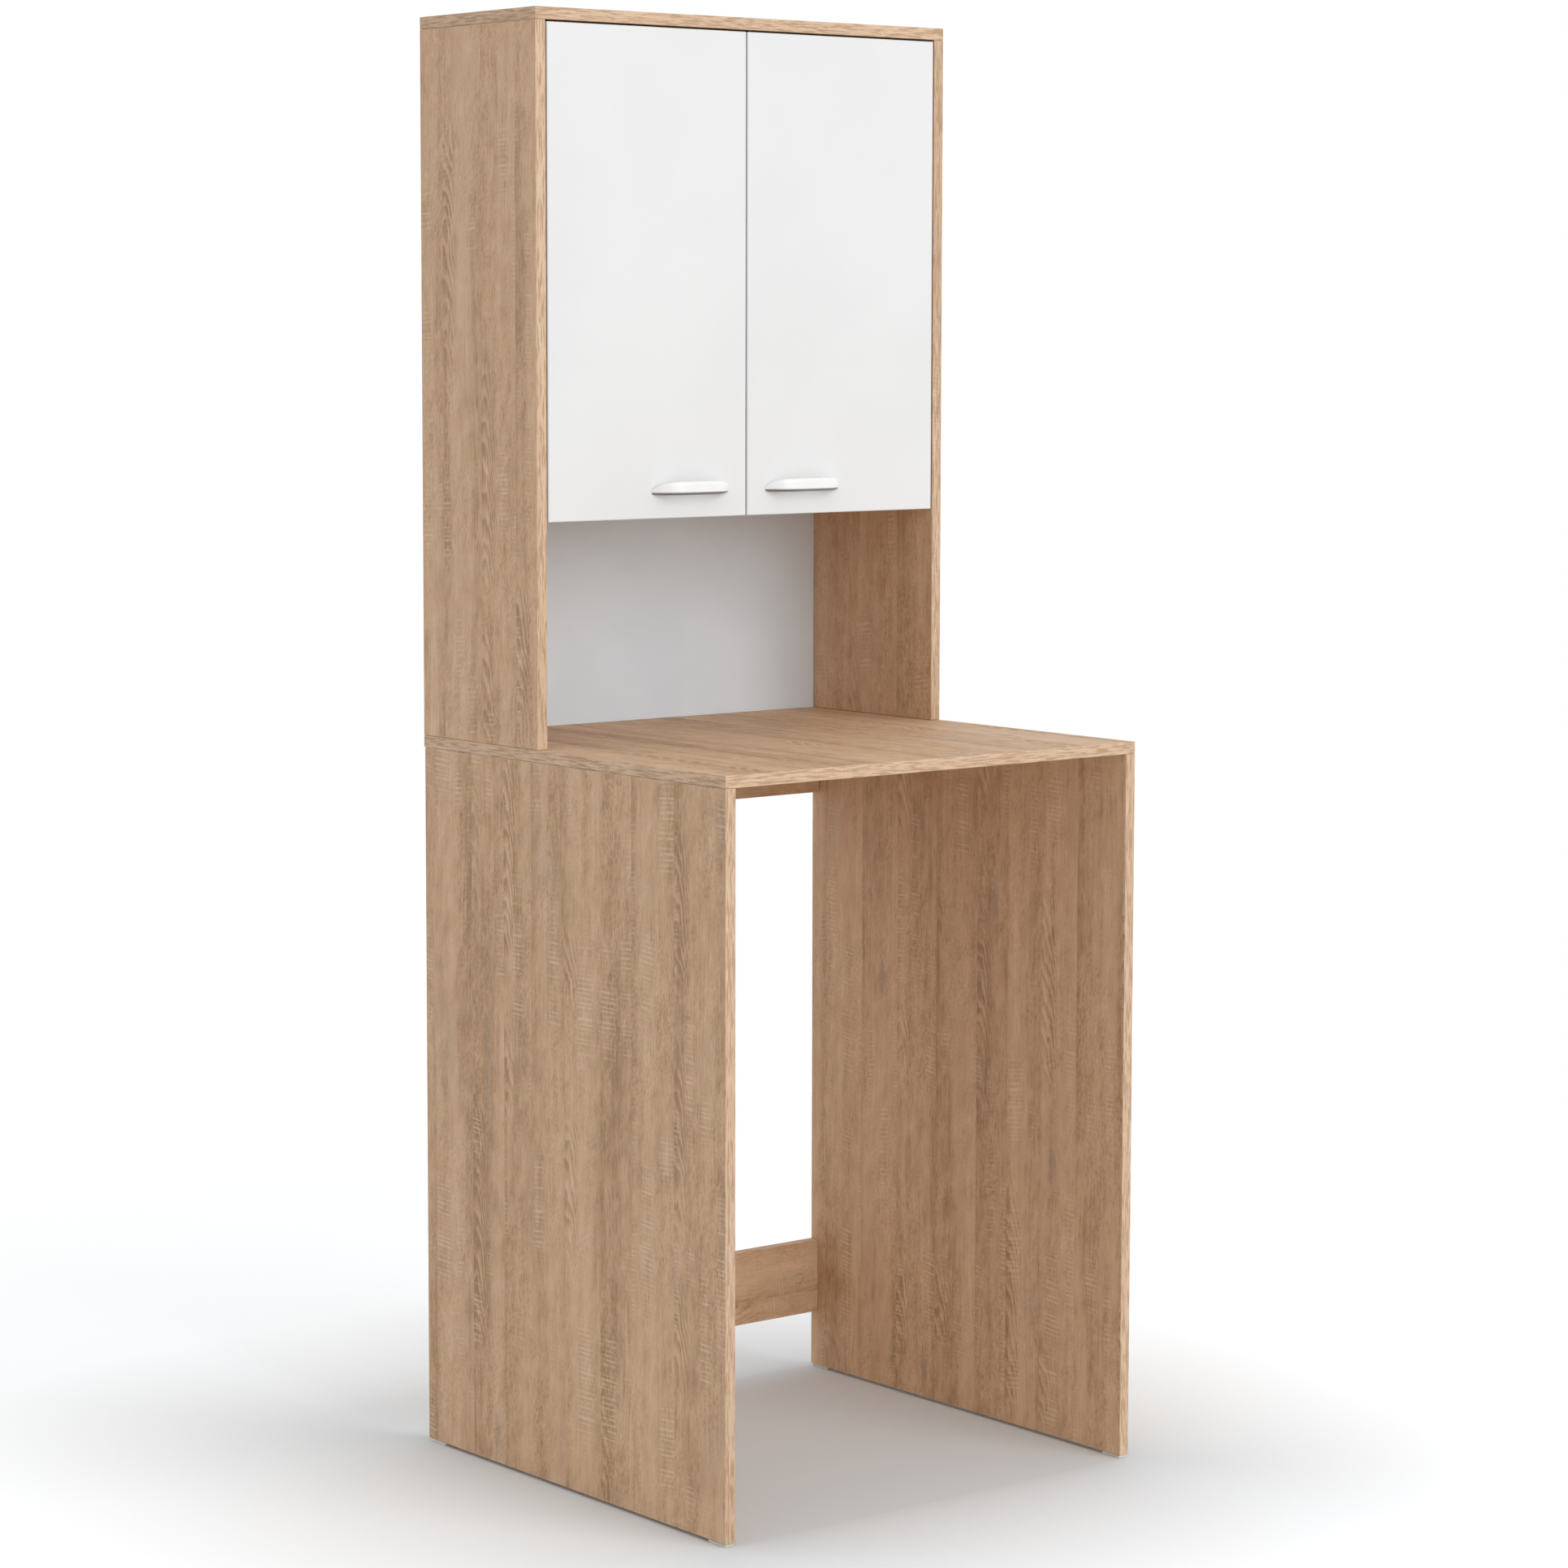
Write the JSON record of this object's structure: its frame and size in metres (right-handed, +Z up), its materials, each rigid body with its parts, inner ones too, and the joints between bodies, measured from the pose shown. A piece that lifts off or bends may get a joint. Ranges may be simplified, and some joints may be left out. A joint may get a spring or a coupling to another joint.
{
  "type": "washing machine cabinet",
  "caption": "Tall cabinet that stands over a washing machine: open bay under a worktop, open niche and a cupboard with inset hinged doors above.",
  "frame": {"origin": "on the floor, at the middle of the cabinet's width and depth", "axes": "+Z up, the front faces -Y, +X to the right as seen from the front"},
  "size_m": [0.656, 0.618, 1.821],
  "materials": {
    "oak_decor": "light sawn oak decor on chipboard, matt, with edge bands",
    "white_front": "white melamine on chipboard, satin",
    "white_backing": "white lacquered thin fibreboard, matt",
    "handle_plastic": "white moulded plastic, semi gloss",
    "glide_plastic": "pale moulded plastic, matt",
    "bright_steel": "pressed steel, nickel plated"
  },
  "bodies": {
    "cabinet": {"left_lower_side": "oak_decor", "right_lower_side": "oak_decor", "worktop": "oak_decor", "rear_rail_top": "oak_decor", "rear_rail_low": "oak_decor", "left_upper_side": "oak_decor", "right_upper_side": "oak_decor", "top_panel": "oak_decor", "cupboard_floor": "oak_decor", "back_panel": "white_backing", "shelf": "oak_decor", "left_front_glide": "glide_plastic", "left_rear_glide": "glide_plastic", "right_front_glide": "glide_plastic", "right_rear_glide": "glide_plastic", "left_front_shelf_pin": "bright_steel", "left_rear_shelf_pin": "bright_steel", "right_front_shelf_pin": "bright_steel", "right_rear_shelf_pin": "bright_steel", "left_wall_bracket": "bright_steel", "right_wall_bracket": "bright_steel", "left_low_hinge_arm": "bright_steel", "left_low_hinge_plate": "bright_steel", "left_high_hinge_arm": "bright_steel", "left_high_hinge_plate": "bright_steel", "right_low_hinge_arm": "bright_steel", "right_low_hinge_plate": "bright_steel", "right_high_hinge_arm": "bright_steel", "right_high_hinge_plate": "bright_steel"},
    "left_door": {"left_door": "white_front", "left_handle": "handle_plastic", "left_low_hinge_cup": "bright_steel", "left_low_hinge_pin": "bright_steel", "left_high_hinge_cup": "bright_steel", "left_high_hinge_pin": "bright_steel"},
    "right_door": {"right_door": "white_front", "right_handle": "handle_plastic", "right_low_hinge_cup": "bright_steel", "right_low_hinge_pin": "bright_steel", "right_high_hinge_cup": "bright_steel", "right_high_hinge_pin": "bright_steel"}
  },
  "joints": [
    {"name": "left_door_hinge", "type": "hinge", "parent": "cabinet", "child": "left_door", "pos_m": [-0.298, 0.0685, 1.5], "axis": [0, 0, -1], "range_deg": [0, 95]},
    {"name": "right_door_hinge", "type": "hinge", "parent": "cabinet", "child": "right_door", "pos_m": [0.298, 0.0685, 1.5], "axis": [0, 0, 1], "range_deg": [0, 95]}
  ]
}
